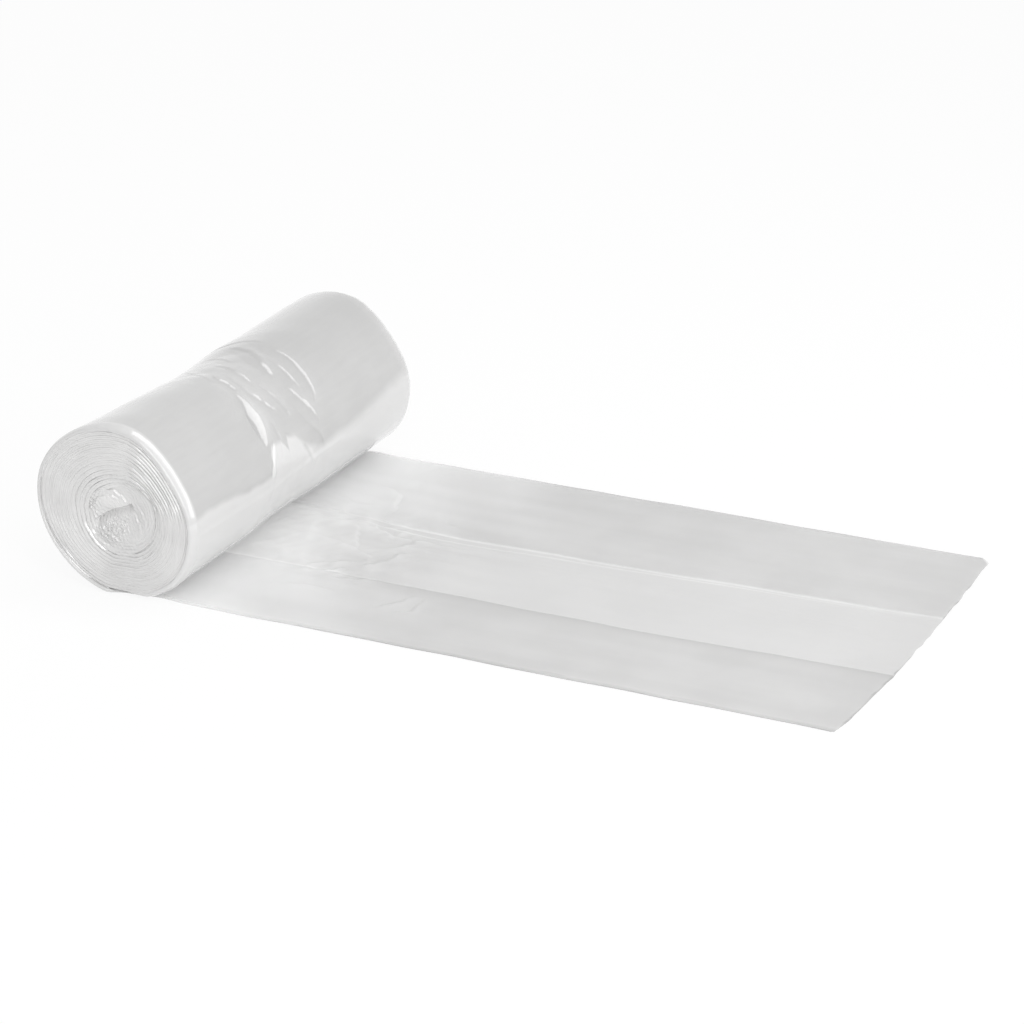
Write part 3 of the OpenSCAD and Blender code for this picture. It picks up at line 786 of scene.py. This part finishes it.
def bag_film():
    """One layer of the bag's clear satin film."""
    material = bpy.data.materials.new("bag_film")
    tree = Tree(material)
    place = tree.place()
    along = tree.noise(tree.stretched(place, (6, 60, 1)), scale=1, detail=4)
    cloudy = tree.noise(place, scale=16, detail=3)
    tone = tree.between(along * 0.35 + cloudy * 0.65, 0.36, 0.64)
    colour = tree.shade(tone, grey(0.70, 0.003), grey(0.75, 0.003))
    # Painted light and shade from the points' pale values: painted highlights on the far crease's two lines,
    # a painted shadow at the near crease, painted light and shade on the wrinkles; the film is also paler
    # near the roll and darker between the creases
    colour = tree.shade_by_pale(colour, grey(0.6, 0.003), grey(0.97))
    grain = tree.noise(tree.stretched(place, (120, 900, 1)), scale=1, detail=2)
    tree.fill(tree.nodes["Principled BSDF"], {
        "Base Color": colour, "Roughness": 0.45, "IOR": 1.5, "Normal": tree.bump(0.08, 0.0005, grain),
        "Alpha": tree.attribute("cover")})
    return material


# The floor's size and middle in metres, and how much of it the camera sees as plain white
FLOOR_SIZE, FLOOR_MIDDLE, SEEN_WHITE = 12, (0.16, 0.08, 0), 0.9


def white_floor():
    """A floor that is nearly white to the camera and white in mirrored light, and takes a faint shadow."""
    bpy.ops.object.select_all(action="DESELECT")
    bpy.ops.mesh.primitive_plane_add(size=FLOOR_SIZE, location=FLOOR_MIDDLE)
    floor = bpy.context.object
    floor.name = "floor"
    material = bpy.data.materials.new("white_floor")
    tree = Tree(material)
    tree.nodes.remove(tree.nodes["Principled BSDF"])
    matt = tree.node("ShaderNodeBsdfDiffuse", {}, {"Color": grey(0.93)})
    white = tree.node("ShaderNodeEmission", {}, {"Color": grey(1), "Strength": 1.0})
    shown = (tree.rays("Camera") * SEEN_WHITE).larger(tree.rays("Glossy")).larger(tree.rays("Transmission"))
    mix = tree.node("ShaderNodeMixShader", {}, {0: shown, 1: matt, 2: white})
    tree.fill(tree.nodes["Material Output"], {"Surface": mix})
    floor.data.materials.append(material)


def studio():
    """Even white surroundings, a little darker overhead, and two softboxes on the right."""
    world = bpy.data.worlds.new("studio")
    bpy.context.scene.world = world
    tree = Tree(world)
    way = tree.node("ShaderNodeTexCoord", {}, {}, "Generated")
    up = tree.node("ShaderNodeSeparateXYZ", {}, {"Vector": way}, "Z")
    sky = tree.shade(tree.between(up, 0.05, 0.75), grey(0.85), grey(0.7))
    shown = tree.rays("Camera").larger(tree.rays("Transmission")).larger(tree.rays("Glossy"))
    tree.fill(tree.nodes["Background"], {"Color": tree.shade(shown, sky, grey(1)), "Strength": 1.0})
    # A long softbox over the roll's right side, and one in front of it on the right that reaches the near end
    softbox("long_softbox", way=Vector((0.64, 0.33, 0.69)), along=Vector((-0.733, 0, 0.68)),
            width=0.4, length=2.6, power=7.2)
    softbox("front_softbox", way=Vector((0.65, -0.6, 0.47)), along=Vector((-0.586, 0, 0.81)),
            width=0.35, length=1.6, power=5.6)


ROLL_MIDDLE, LAMP_DISTANCE = Vector((0, -0.05, 0.06)), 1.25


def softbox(name, way, along, width, length, power):
    """An even rectangular light at the lamps' distance from the roll, with its length the way of along."""
    lamp = bpy.data.lights.new(name, "AREA")
    lamp.shape, lamp.size, lamp.size_y, lamp.energy = "RECTANGLE", width, length, power
    box = bpy.data.objects.new(name, lamp)
    bpy.context.scene.collection.objects.link(box)
    way = way.normalized()
    across = along.cross(way).normalized()
    turned = Matrix((across, way.cross(across), way)).transposed()
    box.matrix_world = Matrix.Translation(ROLL_MIDDLE + way * LAMP_DISTANCE) @ turned.to_4x4()


# The photo's camera: its direction from the target in degrees, its distance in metres, its lens and sensor
CAMERA_AZIMUTH, CAMERA_ELEVATION, CAMERA_DISTANCE = 25.289, 22.140, 2.380
CAMERA_TARGET, CAMERA_LENS, CAMERA_SENSOR = Vector((0.1599, 0.0832, 0.0)), 127.54, 36


def photo_camera():
    """The camera from which the photo's view of the roll and its bag is matched."""
    azimuth, elevation = math.radians(CAMERA_AZIMUTH), math.radians(CAMERA_ELEVATION)
    way = Vector((math.sin(azimuth) * math.cos(elevation), -math.cos(azimuth) * math.cos(elevation),
                  math.sin(elevation)))
    data = bpy.data.cameras.new("camera")
    data.lens, data.sensor_fit = CAMERA_LENS, "HORIZONTAL"
    data.sensor_width, data.sensor_height = CAMERA_SENSOR, CAMERA_SENSOR
    data.clip_start, data.clip_end = 0.1, 50
    camera = bpy.data.objects.new("camera", data)
    bpy.context.scene.collection.objects.link(camera)
    camera.location = CAMERA_TARGET + way * CAMERA_DISTANCE
    camera.rotation_euler = way.to_track_quat("Z", "Y").to_euler()
    bpy.context.scene.camera = camera


photo_camera()
white_floor()
studio()
bpy.context.scene.view_settings.view_transform = "Standard"

skin, edges = wound_film(), turn_edges()
roll_skin, roll_turns, open_bag = outer_turn(), inner_turns(), first_bag()
near_core, far_core = crushed_end("near_inner_end", -1, 101), crushed_end("far_inner_end", 1, 121)
roll_skin.data.materials.append(skin)
for piece in (roll_turns, near_core, far_core):
    piece.data.materials.append(edges)
open_bag.data.materials.append(bag_film())

wound = [roll_skin, roll_turns, near_core, far_core]
for piece, node in [(piece, "wound_bags") for piece in wound] + [(open_bag, "first_bag")]:
    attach(piece, "root")
    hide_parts(node)
